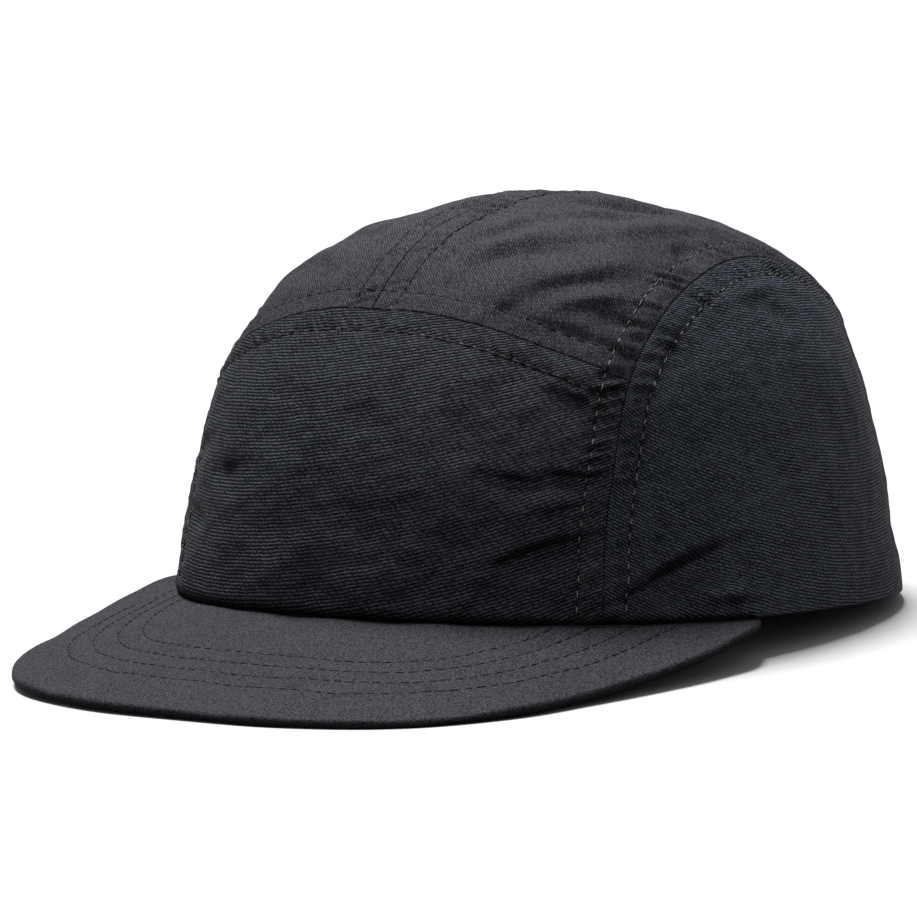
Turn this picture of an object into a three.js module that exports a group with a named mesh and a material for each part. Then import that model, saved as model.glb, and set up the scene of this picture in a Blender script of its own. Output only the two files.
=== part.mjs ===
// A five-panel cap of thin cloth with a flat stitched peak, resting on a table on the front of its
// peak and the back of its hem. Millimetres, +Z up, the peak towards -Y, the wearer's left towards +X.
//
// Every piece is first shaped in the hem's own frame, where z = 0 is the plane of the crown's hem and
// the origin is the middle of the head opening. The finished group is then tilted back to rest.
import * as THREE from 'three';

// Cloth, gaps and rest
const CLOTH = 1.5;
const PIECE_GAP = 0.3;
const REST_TILT_DEG = 4.88;
const HEM_CENTRE_Y = 27.7;
const HEM_CENTRE_HEIGHT = 7.83;

// The crown's level sections, from the hem to the apex: each is a superellipse, centreY behind the
// middle of the hem. The power falls from hem to apex.
const CROWN_SECTIONS = [
  { height: 0, halfWidth: 89, halfLength: 94, centreY: 1.5 },
  { height: 19, halfWidth: 86.5, halfLength: 93.5, centreY: 1.5 },
  { height: 40, halfWidth: 82.5, halfLength: 91, centreY: 1.5 },
  { height: 61, halfWidth: 77, halfLength: 85, centreY: 2.5 },
  { height: 79.5, halfWidth: 66, halfLength: 74.5, centreY: 6 },
  { height: 92.5, halfWidth: 48.5, halfLength: 57, centreY: 6 },
  { height: 100.5, halfWidth: 26.5, halfLength: 30.5, centreY: 4.5 },
  { height: 104, halfWidth: 0, halfLength: 0, centreY: 1 },
];
const HEM_POWER = 2.27;
const APEX_POWER = 2;

// Seams are drawn on the crown laid out as a disc: the apex is its centre, the hem its rim of radius
// 1, x runs to the wearer's left and y to the back. The right side mirrors the left.
const SIDE_SEAM_FRONT_DEG = 44.6;
const SIDE_SEAM = [
  { x: 0.59, y: -0.576 },
  { x: 0.516, y: -0.467 },
  { x: 0.452, y: -0.372 },
  { x: 0.393, y: -0.227 },
  { x: 0.358, y: -0.064 },
  { x: 0.335, y: 0.12 },
  { x: 0.312, y: 0.4 },
  { x: 0.3, y: 0.7 },
];
const SIDE_SEAM_BACK_DEG = 162;
const CROSS_SEAM = { middleY: -0.459, square: 0.25, fourth: 0.86 };

// The folds that stay in the cloth, each along a curve from start by way of mid to end on the disc.
// Width is from crest to edge, height is outwards, and a valley's is negative.
const FOLDS = [
  // front panel
  { start: [0.345, -0.65], mid: [0.385, -0.63], end: [0.43, -0.61], width: 6.5, height: -0.9 },
  { start: [0.43, -0.6], mid: [0.455, -0.57], end: [0.505, -0.53], width: 6.5, height: -1.1 },
  { start: [0.415, -0.675], mid: [0.475, -0.615], end: [0.53, -0.555], width: 7, height: 1 },
  { start: [0.43, -0.775], mid: [0.48, -0.71], end: [0.55, -0.63], width: 7, height: -2 },
  { start: [0.42, -0.865], mid: [0.43, -0.83], end: [0.44, -0.775], width: 7, height: -1.2 },
  { start: [-0.5, -0.505], mid: [-0.42, -0.56], end: [-0.375, -0.58], width: 7, height: -1 },
  { start: [-0.54, -0.61], mid: [-0.47, -0.68], end: [-0.41, -0.75], width: 7, height: -1.2 },
  // left top panel
  { start: [0.055, -0.315], mid: [0.07, -0.23], end: [0.1, -0.15], width: 7, height: -1.5 },
  { start: [0.095, -0.14], mid: [0.135, -0.07], end: [0.185, 0], width: 8, height: -1.6 },
  { start: [0.065, -0.335], mid: [0.085, -0.28], end: [0.155, -0.2], width: 7, height: 1.1 },
  { start: [0.155, -0.2], mid: [0.21, -0.1], end: [0.24, 0.055], width: 9, height: 1.3 },
  { start: [0.17, -0.365], mid: [0.22, -0.29], end: [0.305, -0.155], width: 8, height: 1.3 },
  { start: [0.2, -0.39], mid: [0.24, -0.315], end: [0.315, -0.22], width: 7, height: -2 },
  { start: [0.25, -0.38], mid: [0.28, -0.33], end: [0.355, -0.255], width: 6.5, height: 1.2 },
  { start: [0.31, -0.335], mid: [0.345, -0.31], end: [0.4, -0.3], width: 6.5, height: -1.3 },
  { start: [0.06, 0.34], mid: [0.14, 0.42], end: [0.25, 0.44], width: 8, height: -1.2 },
  // right top panel
  { start: [-0.05, -0.27], mid: [-0.16, -0.2], end: [-0.27, -0.18], width: 8, height: -1.3 },
  { start: [-0.08, -0.35], mid: [-0.18, -0.28], end: [-0.3, -0.27], width: 8, height: 1.1 },
  { start: [-0.12, 0.02], mid: [-0.2, 0.1], end: [-0.29, 0.12], width: 8, height: -1.2 },
  { start: [-0.05, 0.5], mid: [-0.15, 0.56], end: [-0.27, 0.55], width: 8, height: -1.2 },
  // left side panel
  { start: [0.72, -0.595], mid: [0.755, -0.495], end: [0.8, -0.305], width: 7.5, height: -2.4 },
  { start: [0.785, -0.475], mid: [0.825, -0.395], end: [0.88, -0.295], width: 7, height: -1.2 },
  { start: [0.8, -0.51], mid: [0.85, -0.4], end: [0.905, -0.285], width: 7, height: 1.1 },
  { start: [0.43, 0.55], mid: [0.56, 0.6], end: [0.66, 0.56], width: 8, height: -1.2 },
  // right side panel
  { start: [-0.71, -0.58], mid: [-0.76, -0.44], end: [-0.8, -0.3], width: 8, height: -2 },
  { start: [-0.8, -0.44], mid: [-0.85, -0.36], end: [-0.9, -0.25], width: 7, height: 1.1 },
  { start: [-0.46, 0.6], mid: [-0.56, 0.62], end: [-0.66, 0.56], width: 8, height: -1.3 },
];
// Folds die out at the hem, which the stitched edge keeps straight, and taper at their ends.
const HEM_KEEP = 10;
const FOLD_TAPER = 0.12;

// The peak, by the angle from straight ahead: how far its edge reaches from the middle of the hem, and
// how far the edge drops below the hem's plane. The whole peak also rolls a little to its left.
const PEAK_EDGE = [
  { angle: 0, reach: 150.5, drop: 17.6 },
  { angle: 12, reach: 152, drop: 17.4 },
  { angle: 24, reach: 150, drop: 16.4 },
  { angle: 34, reach: 139, drop: 13.8 },
  { angle: 42, reach: 127.5, drop: 11.1 },
  { angle: 50, reach: 117.5, drop: 7.7 },
  { angle: 60, reach: 107.5, drop: 3 },
  { angle: 68, reach: 100, drop: -1 },
  { angle: 73.5, reach: 91, drop: -1 },
];
const PEAK_ROLL = 0.011;
const PEAK_THICKNESS = 2.4;
const PEAK_LIP = 1.2;
const PEAK_UNDER_HEM = 3;

// Fineness of the meshes
const PANEL_CELLS = { front: [22, 18], top: [16, 26], side: [24, 18] };
const PEAK_STEPS = 48;
const PEAK_ROWS = 5;
const FOLD_STEPS = 8;
const SLOPE_STEP = 0.004;
const ROUNDING = 1e-6;

// The cubic between two values, with the slope at each, at share u of the way.
function cubicBetween(from, to, slope, nextSlope, u) {
  const rise = to - from;
  const cube = slope + nextSlope - 2 * rise;
  return from + u * (slope + u * (3 * rise - 2 * slope - nextSlope + u * cube));
}

// A column of the crown's sections at share t of the way from hem to apex. A half width or half
// length changes sign past the apex, and a height or centre doesn't.
function sectionValue(column, t, changesSign) {
  const last = CROWN_SECTIONS.length - 1;
  const place = THREE.MathUtils.clamp(t, 0, 1) * last;
  const row = Math.min(Math.floor(place), last - 1);
  const value = (i) => {
    if (i < 0) return 2 * CROWN_SECTIONS[0][column] - CROWN_SECTIONS[1][column];
    if (i > last) return (changesSign ? -1 : 1) * CROWN_SECTIONS[last - 1][column];
    return CROWN_SECTIONS[i][column];
  };
  const [before, from, to, after] = [row - 1, row, row + 1, row + 2].map(value);
  return cubicBetween(from, to, (to - before) / 2, (after - from) / 2, place - row);
}

// The crown's smooth surface over a point of the disc.
function crownPoint(x, y) {
  const radius = Math.min(Math.hypot(x, y), 1);
  const t = 1 - radius;
  const sin = radius > 0 ? x / Math.hypot(x, y) : 0;
  const cos = radius > 0 ? -y / Math.hypot(x, y) : 1;
  const halfWidth = sectionValue('halfWidth', t, true);
  const halfLength = sectionValue('halfLength', t, true);
  const power = THREE.MathUtils.lerp(HEM_POWER, APEX_POWER, t);
  const sum = (Math.abs(sin) / halfWidth) ** power + (Math.abs(cos) / halfLength) ** power;
  const reach = radius > 0 ? sum ** (-1 / power) : 0;
  const centreY = sectionValue('centreY', t, false);
  return new THREE.Vector3(reach * sin, centreY - reach * cos, sectionValue('height', t, false));
}

// The crown's outward normal over a point of the disc.
function crownNormal(x, y) {
  const half = SLOPE_STEP / 2;
  const shrink = Math.min(1, (1 - SLOPE_STEP) / Math.max(Math.hypot(x, y), ROUNDING));
  const [cx, cy] = [x * shrink, y * shrink];
  const alongX = crownPoint(cx + half, cy).sub(crownPoint(cx - half, cy));
  const alongY = crownPoint(cx, cy + half).sub(crownPoint(cx, cy - half));
  return alongX.cross(alongY).normalize();
}

// Each fold's curve as a short run of points on the crown.
const foldLines = FOLDS.map(({ start, mid, end, width, height }) => {
  const [from, middle, to] = [start, mid, end].map(([x, y]) => new THREE.Vector2(x, y));
  const control = middle.multiplyScalar(2).addScaledVector(from, -0.5).addScaledVector(to, -0.5);
  const places = new THREE.QuadraticBezierCurve(from, control, to).getPoints(FOLD_STEPS);
  return { points: places.map((place) => crownPoint(place.x, place.y)), width, height };
});

// How far the folds push the cloth outwards at a point of the crown.
function foldHeight(point) {
  let total = 0;
  for (const { points, width, height } of foldLines) {
    let nearest = Infinity;
    let share = 0;
    const segment = new THREE.Line3();
    const foot = new THREE.Vector3();
    for (let i = 0; i < points.length - 1; i += 1) {
      segment.set(points[i], points[i + 1]);
      const along = segment.closestPointToPointParameter(point, true);
      const distance = segment.at(along, foot).distanceTo(point);
      if (distance < nearest) {
        nearest = distance;
        share = (i + along) / (points.length - 1);
      }
    }
    const taper = Math.sin(Math.PI * THREE.MathUtils.clamp(share, FOLD_TAPER, 1 - FOLD_TAPER));
    total += height * taper * Math.exp(-((nearest / width) ** 2) * 2);
  }
  return total;
}

function clothPoint(x, y) {
  const point = crownPoint(x, y);
  const fade = THREE.MathUtils.smoothstep(point.z, 0, HEM_KEEP);
  return point.addScaledVector(crownNormal(x, y), foldHeight(point) * fade);
}

// Where the table lies under a point, in the hem's frame.
const tilt = THREE.MathUtils.degToRad(REST_TILT_DEG);
const tableHeight = (y) => y * Math.tan(tilt) - HEM_CENTRE_HEIGHT / Math.cos(tilt);

// Cloth that would pass through the table is pressed flat on it.
function pressOnTable(point) {
  point.z = Math.max(point.z, tableHeight(point.y));
  return point;
}

// A place on the hem, and a stretch of it between two angles from straight ahead.
const hemPlace = (angle) => new THREE.Vector3(Math.sin(angle), -Math.cos(angle), 0);
const hemArc = (fromAngle, toAngle) => (share) => hemPlace(THREE.MathUtils.lerp(fromAngle, toAngle, share));

// The side seam is one smooth curve from hem to hem, and part of it is picked by its points' numbers.
const HEM_FRONT = THREE.MathUtils.degToRad(SIDE_SEAM_FRONT_DEG);
const HEM_BACK = THREE.MathUtils.degToRad(SIDE_SEAM_BACK_DEG);
const seamPoints = [
  hemPlace(HEM_FRONT),
  ...SIDE_SEAM.map((row) => new THREE.Vector3(row.x, row.y, 0)),
  hemPlace(HEM_BACK),
];
const SEAM_JUNCTION = 3;
const SEAM_SHOULDER = 8;
const SEAM_END = seamPoints.length - 1;
const sideSeamCurve = new THREE.CatmullRomCurve3(seamPoints, false, 'centripetal');
function sideSeam(from, to) {
  return (share) => sideSeamCurve.getPoint(THREE.MathUtils.lerp(from, to, share) / SEAM_END);
}

// The cross seam between the front panel and the top panels, from the middle to the side seam.
const junction = seamPoints[SEAM_JUNCTION];
function crossSeam(share) {
  const x = junction.x * share;
  const y = CROSS_SEAM.middleY + CROSS_SEAM.square * x ** 2 + CROSS_SEAM.fourth * x ** 4;
  return new THREE.Vector3(x, y, 0);
}

const mirrored = (curve) => (share) => curve(share).multiply(new THREE.Vector3(-1, 1, 1));
const reversed = (curve) => (share) => curve(1 - share);

// A point inside four boundary curves. Bottom and top run one way, left and right go from bottom to top.
function patchPoint({ bottom, top, left, right }, a, b) {
  const sum = new THREE.Vector3();
  sum.addScaledVector(bottom(a), 1 - b).addScaledVector(top(a), b);
  sum.addScaledVector(left(b), 1 - a).addScaledVector(right(b), a);
  sum.addScaledVector(bottom(0), -(1 - a) * (1 - b)).addScaledVector(bottom(1), -a * (1 - b));
  sum.addScaledVector(top(0), -(1 - a) * b).addScaledVector(top(1), -a * b);
  return sum;
}

// A grid of points of a panel's outer face, drawn in by half a gap all round.
function panelGrid(edges, columns, rows) {
  const disc = [];
  const face = [];
  for (let j = 0; j <= rows; j += 1) {
    for (let i = 0; i <= columns; i += 1) {
      const place = patchPoint(edges, i / columns, j / rows);
      disc.push(place);
      face.push(clothPoint(place.x, place.y));
    }
  }
  const at = (i, j) => j * (columns + 1) + i;
  const normals = disc.map((place) => crownNormal(place.x, place.y));
  const drawnIn = face.map((point) => point.clone());
  const drawIn = (here, before, after, inside) => {
    const along = face[after].clone().sub(face[before]);
    const inwards = normals[here].clone().cross(along).normalize();
    const towards = face[inside].clone().sub(face[here]);
    drawnIn[here].addScaledVector(inwards, (inwards.dot(towards) > 0 ? 1 : -1) * PIECE_GAP / 2);
  };
  for (let i = 0; i <= columns; i += 1) {
    const before = Math.max(i - 1, 0);
    const after = Math.min(i + 1, columns);
    drawIn(at(i, 0), at(before, 0), at(after, 0), at(i, 1));
    drawIn(at(i, rows), at(before, rows), at(after, rows), at(i, rows - 1));
  }
  for (let j = 0; j <= rows; j += 1) {
    const before = Math.max(j - 1, 0);
    const after = Math.min(j + 1, rows);
    drawIn(at(0, j), at(0, before), at(0, after), at(1, j));
    drawIn(at(columns, j), at(columns, before), at(columns, after), at(columns - 1, j));
  }
  return { disc, normals, outer: drawnIn };
}

function geometryOf(points, triangles) {
  const coordinates = points.flatMap((point) => [point.x, point.y, point.z]);
  const geometry = new THREE.BufferGeometry();
  geometry.setAttribute('position', new THREE.Float32BufferAttribute(coordinates, 3));
  geometry.setIndex(triangles.flat());
  geometry.computeVertexNormals();
  return geometry;
}

const isOnHem = (place) => Math.hypot(place.x, place.y) > 1 - ROUNDING;

// One cloth panel: its outer face, its inner face a cloth's thickness inside, and the cut edges.
function panelGeometry(edges, [columns, rows]) {
  const { disc, normals, outer } = panelGrid(edges, columns, rows);
  const count = outer.length;
  const points = outer.map((point, i) => {
    if (isOnHem(disc[i])) point.z = 0;
    return point;
  });
  for (let i = 0; i < count; i += 1) {
    const inner = points[i].clone().addScaledVector(normals[i], -CLOTH);
    if (isOnHem(disc[i])) inner.z = 0;
    points.push(inner);
  }
  points.forEach(pressOnTable);
  const at = (i, j) => j * (columns + 1) + i;
  const quads = [];
  for (let j = 0; j < rows; j += 1) {
    for (let i = 0; i < columns; i += 1) {
      const [a, b, c, d] = [at(i, j), at(i + 1, j), at(i + 1, j + 1), at(i, j + 1)];
      quads.push([a, b, c, d], [d + count, c + count, b + count, a + count]);
    }
  }
  const wall = (a, b) => quads.push([b, a, a + count, b + count]);
  for (let i = 0; i < columns; i += 1) {
    wall(at(i, 0), at(i + 1, 0));
    wall(at(i + 1, rows), at(i, rows));
  }
  for (let j = 0; j < rows; j += 1) {
    wall(at(0, j + 1), at(0, j));
    wall(at(columns, j), at(columns, j + 1));
  }
  return geometryOf(points, quads.flatMap(([a, b, c, d]) => [[a, b, c], [a, c, d]]));
}

// The four edges of each panel, for the left of the pair.
const lowSeam = sideSeam(0, SEAM_JUNCTION);

const frontEdges = {
  bottom: hemArc(-HEM_FRONT, HEM_FRONT),
  top: (share) => {
    const place = crossSeam(Math.abs(2 * share - 1));
    place.x *= Math.sign(2 * share - 1);
    return place;
  },
  left: mirrored(lowSeam),
  right: lowSeam,
};

const topEdges = {
  bottom: crossSeam,
  top: hemArc(Math.PI, HEM_BACK),
  left: (share) => new THREE.Vector3(0, THREE.MathUtils.lerp(CROSS_SEAM.middleY, 1, share), 0),
  right: sideSeam(SEAM_JUNCTION, SEAM_END),
};

const sideEdges = {
  bottom: hemArc(HEM_FRONT, HEM_BACK),
  top: sideSeam(SEAM_JUNCTION, SEAM_SHOULDER),
  left: lowSeam,
  right: reversed(sideSeam(SEAM_SHOULDER, SEAM_END)),
};

// The mirror of a panel's edges, with left and right changed over so that it still faces outwards.
const mirrorEdges = ({ bottom, top, left, right }) => ({
  bottom: reversed(mirrored(bottom)),
  top: reversed(mirrored(top)),
  left: mirrored(right),
  right: mirrored(left),
});

// A column of the peak's table at an angle in degrees, smooth through its rows.
function peakValue(column, degrees) {
  const angle = Math.abs(degrees);
  const last = PEAK_EDGE.length - 1;
  const row = Math.max(PEAK_EDGE.findLastIndex((entry, i) => i < last && entry.angle <= angle), 0);
  const entry = (i) => {
    if (i < 0) return { angle: -PEAK_EDGE[1].angle, value: PEAK_EDGE[1][column] };
    if (i > last) {
      return {
        angle: 2 * PEAK_EDGE[last].angle - PEAK_EDGE[last - 1].angle,
        value: 2 * PEAK_EDGE[last][column] - PEAK_EDGE[last - 1][column],
      };
    }
    return { angle: PEAK_EDGE[i].angle, value: PEAK_EDGE[i][column] };
  };
  const [before, from, to, after] = [row - 1, row, row + 1, row + 2].map(entry);
  const span = to.angle - from.angle;
  const slope = ((to.value - before.value) / (to.angle - before.angle)) * span;
  const nextSlope = ((after.value - from.value) / (after.angle - from.angle)) * span;
  return cubicBetween(from.value, to.value, slope, nextSlope, (angle - from.angle) / span);
}

// How far the hem lies from the middle of the head opening, in a direction of the plan.
function hemReach(angle) {
  let [low, high] = [angle - 0.1, angle + 0.1];
  for (let i = 0; i < 40; i += 1) {
    const middle = (low + high) / 2;
    const point = crownPoint(Math.sin(middle), -Math.cos(middle));
    if (Math.atan2(point.x, -point.y) < angle) low = middle;
    else high = middle;
  }
  const point = crownPoint(Math.sin(low), -Math.cos(low));
  return Math.hypot(point.x, point.y);
}

// The peak's section at an angle in degrees: out along its upper face, round the lip and back below.
function peakSection(degrees) {
  const angle = THREE.MathUtils.degToRad(degrees);
  const hem = hemReach(angle);
  const reach = peakValue('reach', degrees);
  const drop = peakValue('drop', degrees) + PEAK_ROLL * reach * Math.sin(angle);
  const lip = Math.min(PEAK_LIP, (reach - hem) / 2);
  const radii = [hem - PEAK_UNDER_HEM];
  for (let i = 0; i <= PEAK_ROWS; i += 1) radii.push(THREE.MathUtils.lerp(hem, reach - lip, i / PEAK_ROWS));
  const section = [
    ...radii.map((radius) => ({ radius, depth: 0 })),
    { radius: reach, depth: PEAK_THICKNESS / 2 },
    ...radii.toReversed().map((radius) => ({ radius, depth: PEAK_THICKNESS })),
  ];
  return section.map(({ radius, depth }) => {
    const share = Math.max((radius - hem) / (reach - hem), 0);
    const height = -PIECE_GAP - drop * share - depth;
    return pressOnTable(new THREE.Vector3(radius * Math.sin(angle), -radius * Math.cos(angle), height));
  });
}

// The peak: a ring of its section at each angle, joined to the next and closed at both tips.
function peakGeometry() {
  const tip = PEAK_EDGE.at(-1).angle;
  const points = [];
  for (let k = 0; k <= PEAK_STEPS; k += 1) {
    points.push(...peakSection(THREE.MathUtils.lerp(-tip, tip, k / PEAK_STEPS)));
  }
  const sectionSize = points.length / (PEAK_STEPS + 1);
  const at = (k, i) => k * sectionSize + (i % sectionSize);
  const triangles = [];
  for (let k = 0; k < PEAK_STEPS; k += 1) {
    for (let i = 0; i < sectionSize; i += 1) {
      const [a, b, c, d] = [at(k, i), at(k, i + 1), at(k + 1, i + 1), at(k + 1, i)];
      triangles.push([a, b, c], [a, c, d]);
    }
  }
  // Each tip is closed by strips between the section's upper and lower face.
  const nose = (sectionSize - 1) / 2;
  for (const [k, turned] of [[0, false], [PEAK_STEPS, true]]) {
    for (let i = 0; i < nose; i += 1) {
      const [upper, lower] = [i, sectionSize - 1 - i];
      const faces = [[at(k, upper), at(k, lower), at(k, upper + 1)]];
      if (upper + 1 < nose) faces.push([at(k, lower), at(k, lower - 1), at(k, upper + 1)]);
      faces.forEach((face) => triangles.push(turned ? face.toReversed() : face));
    }
  }
  return geometryOf(points, triangles);
}

const panelCloth = { color: '#24262b', roughness: 0.82, metalness: 0 };
const peakCloth = { color: '#2b2d31', roughness: 0.85, metalness: 0 };

const LEFT_PANELS = [
  { name: 'top_panel', edges: topEdges, cells: PANEL_CELLS.top },
  { name: 'side_panel', edges: sideEdges, cells: PANEL_CELLS.side },
];

const cap = new THREE.Group();
function addPiece(name, look, geometry) {
  const mesh = new THREE.Mesh(geometry, new THREE.MeshStandardMaterial(look));
  mesh.name = name;
  cap.add(mesh);
}

addPiece('front_panel', panelCloth, panelGeometry(frontEdges, PANEL_CELLS.front));
for (const { name, edges, cells } of LEFT_PANELS) {
  addPiece(`${name}_left`, panelCloth, panelGeometry(edges, cells));
  addPiece(`${name}_right`, panelCloth, panelGeometry(mirrorEdges(edges), cells));
}
addPiece('peak', peakCloth, peakGeometry());
cap.rotation.x = -tilt;
cap.position.set(0, HEM_CENTRE_Y, HEM_CENTRE_HEIGHT);

export default cap;
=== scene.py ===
import math
from collections import namedtuple

import bpy
import numpy as np
from mathutils import Matrix, Vector


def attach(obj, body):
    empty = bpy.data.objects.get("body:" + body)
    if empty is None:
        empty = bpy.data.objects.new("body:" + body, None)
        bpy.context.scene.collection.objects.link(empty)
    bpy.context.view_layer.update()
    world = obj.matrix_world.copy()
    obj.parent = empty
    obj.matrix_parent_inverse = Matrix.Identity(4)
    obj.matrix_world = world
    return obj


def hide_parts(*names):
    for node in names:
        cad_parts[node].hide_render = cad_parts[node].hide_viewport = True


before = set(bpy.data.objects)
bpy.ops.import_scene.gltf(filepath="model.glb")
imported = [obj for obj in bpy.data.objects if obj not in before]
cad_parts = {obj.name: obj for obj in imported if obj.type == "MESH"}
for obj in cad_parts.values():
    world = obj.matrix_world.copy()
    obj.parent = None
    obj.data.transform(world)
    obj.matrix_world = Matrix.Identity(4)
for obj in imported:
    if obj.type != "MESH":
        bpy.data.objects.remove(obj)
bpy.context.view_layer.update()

bpy.ops.object.select_all(action="DESELECT")

MM = 0.001
# The step on the disc that measures the crown's slopes, and how many points are measured at once
SLOPE_STEP = 0.004
BATCH = 4000

# How the cap rests: its tilt, and where the middle of its hem comes to lie
REST_TILT = math.radians(4.88)
HEM_CENTRE = np.array([0, 27.7, 7.83])

# Cloth: its thickness, the gap at each side of a seam, the rounding of its turned edges, how the hem
# comes down on the peak, and the flare towards the hem
CLOTH = 1.3
SEAM_GAP = 0.04
SEAM_ROLL = 0.45
HEM_ROLL = 0.45
PEAK_HEM_ROLL = 2.8
PEAK_HEM_ANGLE = math.radians(72)
PEAK_HEM_DROP = 0.3
INNER_HEM_HEIGHT = 0.2
HEM_FLARE = 0.8
HEM_FLARE_HEIGHT = 24

# The crown's level sections, from the hem to the apex
Section = namedtuple("Section", "height half_width half_length centre_y")
CROWN_SECTIONS = [
    Section(0, 89, 94, 1.5),
    Section(19, 86.5, 93.5, 1.5),
    Section(40, 82.5, 91, 1.5),
    Section(61, 77, 85, 2.5),
    Section(79.5, 66, 74.5, 6),
    Section(92.5, 48.5, 57, 6),
    Section(100.5, 26.5, 30.5, 4.5),
    Section(104, 0, 0, 1),
]
HEM_POWER = 2.27
APEX_POWER = 2

# The side seam on the crown laid out as a disc: the apex is the centre, the hem the rim of radius 1
Place = namedtuple("Place", "x y")
SIDE_SEAM_FRONT = math.radians(44.6)
SIDE_SEAM = [
    Place(0.59, -0.576),
    Place(0.516, -0.467),
    Place(0.452, -0.372),
    Place(0.393, -0.227),
    Place(0.358, -0.064),
    Place(0.335, 0.12),
    Place(0.312, 0.4),
    Place(0.3, 0.7),
]
SIDE_SEAM_BACK = math.radians(162)
SEAM_JUNCTION = 3
SEAM_SHOULDER = 8
CROSS_MIDDLE = -0.459
CROSS_SQUARE = 0.25
CROSS_FOURTH = 0.86

# Folds that stay in the cloth: a curve on the disc, and the fold's width and height in millimetres
Fold = namedtuple("Fold", "start_x start_y mid_x mid_y end_x end_y width height")
FOLDS = [
    # front panel, beside the left side seam
    Fold(0.368, -0.474, 0.4, -0.46, 0.438, -0.442, 3, -1),
    Fold(0.342, -0.65, 0.386, -0.632, 0.43, -0.61, 2.8, -1.3),
    Fold(0.43, -0.604, 0.456, -0.576, 0.508, -0.538, 2.6, -1.9),
    Fold(0.416, -0.674, 0.476, -0.616, 0.528, -0.556, 3.6, 1),
    Fold(0.432, -0.772, 0.482, -0.712, 0.548, -0.634, 3.2, -3.2),
    Fold(0.418, -0.866, 0.428, -0.828, 0.44, -0.774, 5, -1.4),
    Fold(0.54, -0.656, 0.57, -0.636, 0.602, -0.614, 2.2, -0.8),
    Fold(0.59, -0.79, 0.598, -0.756, 0.6, -0.73, 3, -1),
    # front panel, beside the right side seam
    Fold(-0.5, -0.504, -0.418, -0.562, -0.376, -0.582, 5, -1.4),
    Fold(-0.352, -0.666, -0.29, -0.68, -0.238, -0.688, 5, -1.1),
    Fold(-0.54, -0.61, -0.47, -0.68, -0.41, -0.75, 5, -1.4),
    # left top panel
    Fold(0.054, -0.314, 0.07, -0.23, 0.098, -0.148, 6, -2.2),
    Fold(0.096, -0.138, 0.134, -0.064, 0.2, 0.02, 8, -2.2),
    Fold(0.06, -0.09, 0.09, 0.044, 0.14, 0.17, 9, -3),
    Fold(0.064, -0.334, 0.086, -0.28, 0.156, -0.2, 7, 1.6),
    Fold(0.156, -0.2, 0.208, -0.102, 0.238, 0.054, 9, 1.6),
    Fold(0.098, -0.368, 0.122, -0.302, 0.184, -0.24, 6, -1.1),
    Fold(0.168, -0.364, 0.22, -0.29, 0.306, -0.154, 6.5, 1.3),
    Fold(0.198, -0.39, 0.238, -0.316, 0.316, -0.22, 5, -0.9),
    Fold(0.25, -0.382, 0.278, -0.33, 0.354, -0.256, 4, 1.3),
    Fold(0.174, -0.43, 0.19, -0.396, 0.202, -0.364, 4, 0.8),
    Fold(0.312, -0.334, 0.344, -0.31, 0.398, -0.3, 4.5, -1.3),
    Fold(0.264, -0.396, 0.31, -0.378, 0.366, -0.358, 4, -1),
    Fold(0.328, -0.354, 0.378, -0.34, 0.43, -0.312, 4, 1),
    Fold(0.294, -0.126, 0.294, -0.094, 0.298, -0.06, 5, -1.2),
    Fold(0.06, 0.34, 0.14, 0.42, 0.25, 0.44, 8, -1.5),
    # right top panel
    Fold(-0.05, -0.27, -0.16, -0.2, -0.27, -0.18, 7, -1.8),
    Fold(-0.08, -0.35, -0.18, -0.28, -0.3, -0.27, 7, 1.4),
    Fold(-0.12, 0.02, -0.2, 0.1, -0.29, 0.12, 8, -1.6),
    Fold(-0.05, 0.5, -0.15, 0.56, -0.27, 0.55, 8, -1.5),
    # left side panel
    Fold(0.712, -0.61, 0.746, -0.5, 0.792, -0.31, 6.2, -4.4),
    Fold(0.67, -0.524, 0.682, -0.5, 0.694, -0.472, 3, -1),
    Fold(0.776, -0.474, 0.816, -0.394, 0.872, -0.294, 3.6, -1.6),
    Fold(0.802, -0.512, 0.852, -0.402, 0.904, -0.286, 4.5, 1.6),
    Fold(0.87, -0.424, 0.896, -0.36, 0.926, -0.278, 2.4, -1.6),
    Fold(0.426, -0.124, 0.42, -0.036, 0.406, 0.096, 3.5, 0.8),
    Fold(0.384, -0.084, 0.404, -0.086, 0.428, -0.088, 2.5, -0.8),
    Fold(0.444, -0.036, 0.456, 0.014, 0.468, 0.07, 5, -1),
    Fold(0.43, 0.55, 0.56, 0.6, 0.66, 0.56, 8, -1.5),
    # right side panel
    Fold(-0.71, -0.58, -0.76, -0.44, -0.8, -0.3, 6, -2.8),
    Fold(-0.8, -0.44, -0.85, -0.36, -0.9, -0.25, 6, 1.4),
    Fold(-0.46, 0.6, -0.56, 0.62, -0.66, 0.56, 8, -1.6),
]

# The peak by the angle from straight ahead: its edge's reach, and its drop below the hem's plane
Edge = namedtuple("Edge", "angle reach drop")
PEAK_EDGE = [
    Edge(0, 150.5, 17.6),
    Edge(12, 152, 17.4),
    Edge(24, 150, 16.4),
    Edge(34, 140, 13.8),
    Edge(42, 127.5, 11.1),
    Edge(50, 117.5, 7.7),
    Edge(60, 107.5, 3.3),
    Edge(68, 100, -0.4),
    Edge(73.5, 91, -0.4),
]
PEAK_ROLL = 0.011
PEAK_THICKNESS = 2.4
PEAK_GAP = 0.3
PEAK_LIP = 0.8
PEAK_UNDER_HEM = 3

# The peak's rows of stitches follow a rounded outline inside its edge
ROW_HALF_WIDTH = 92.5
ROW_HALF_LENGTH = 101.6
ROW_CENTRE_Y = -46.4
ROW_POWER = 2.73
ROW_INSETS = [13.4, 19.7, 26.0, 32.3]

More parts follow.
